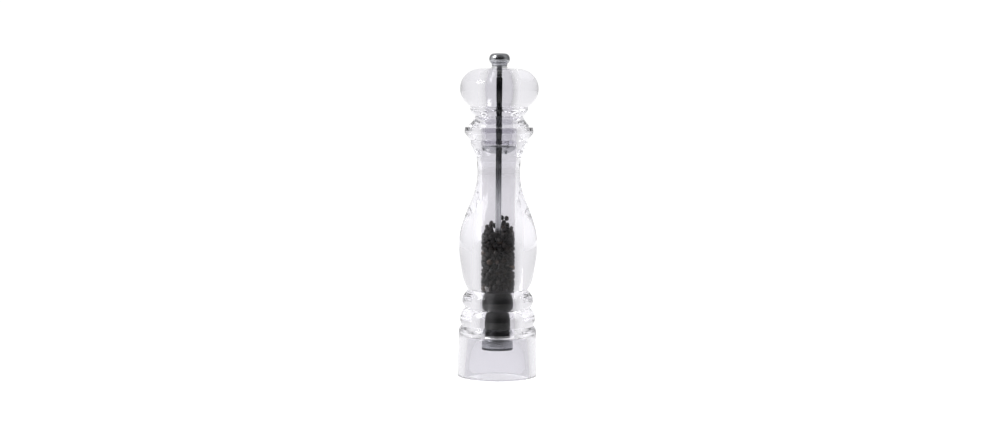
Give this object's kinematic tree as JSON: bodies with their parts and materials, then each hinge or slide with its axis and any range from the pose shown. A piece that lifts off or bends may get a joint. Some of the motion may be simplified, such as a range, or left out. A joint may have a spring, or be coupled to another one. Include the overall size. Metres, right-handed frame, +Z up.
{
  "type": "pepper mill",
  "caption": "Tall turned clear acrylic pepper mill with a steel adjusting nut, steel drive shaft, steel burr cup and peppercorns in its bore.",
  "frame": {"origin": "centre of the flat rim the mill stands on", "axes": "+Z up along the axis of the mill, from the foot to the nut"},
  "size_m": [0.0548, 0.0548, 0.22],
  "materials": {
    "clear_acrylic": "clear polished acrylic",
    "bright_steel": "polished steel",
    "shaft_steel": "drawn steel rod",
    "tool_steel": "hardened dark steel",
    "spring_steel": "zinc-plated steel",
    "black_acetal": "moulded black acetal",
    "black_pepper": "loose dry peppercorns"
  },
  "bodies": {
    "mill_body": {"body_shell": "clear_acrylic", "burr_housing": "black_acetal", "burr_cup": "bright_steel", "outer_burr": "tool_steel", "upper_bridge": "black_acetal", "lower_bridge": "bright_steel", "retaining_screw_1": "spring_steel", "retaining_screw_2": "spring_steel", "retaining_screw_3": "spring_steel", "peppercorn_fill": "black_pepper"},
    "turning_core": {"thrust_washer": "spring_steel", "burr_spring": "spring_steel"},
    "rotor": {"drive_shaft": "shaft_steel", "inner_burr": "tool_steel", "burr_washer": "spring_steel", "burr_clip": "spring_steel"},
    "head": {"head_shell": "clear_acrylic", "drive_plate": "bright_steel", "plate_screw_1": "spring_steel", "plate_screw_2": "spring_steel", "plate_screw_3": "spring_steel", "head_bush": "bright_steel"},
    "nut_seat": {"nut_washer": "bright_steel"},
    "finial": {"finial_nut": "bright_steel"}
  },
  "joints": [
    {"name": "grind_turn", "type": "hinge", "parent": "mill_body", "child": "turning_core", "pos_m": [0, 0, 0.17], "axis": [0, 0, 1], "continuous": true},
    {"name": "burr_lift", "type": "slide", "parent": "turning_core", "child": "rotor", "axis": [0, 0, 1], "range_m": [-0.00105, 0.00035], "deforming": ["burr_spring"]},
    {"name": "head_lift", "type": "slide", "parent": "turning_core", "child": "head", "axis": [0, 0, 1], "range_m": [0, 0.075]},
    {"name": "nut_lift", "type": "slide", "parent": "head", "child": "nut_seat", "axis": [0, 0, 1], "range_m": [0, 0.02]},
    {"name": "nut_turn", "type": "hinge", "parent": "nut_seat", "child": "finial", "pos_m": [0, 0, 0.2155], "axis": [0, 0, 1], "range_deg": [-180, 540]}
  ],
  "couplings": [
    {"joint": "nut_turn", "follows": "burr_lift", "rad_per_m": -8976}
  ]
}
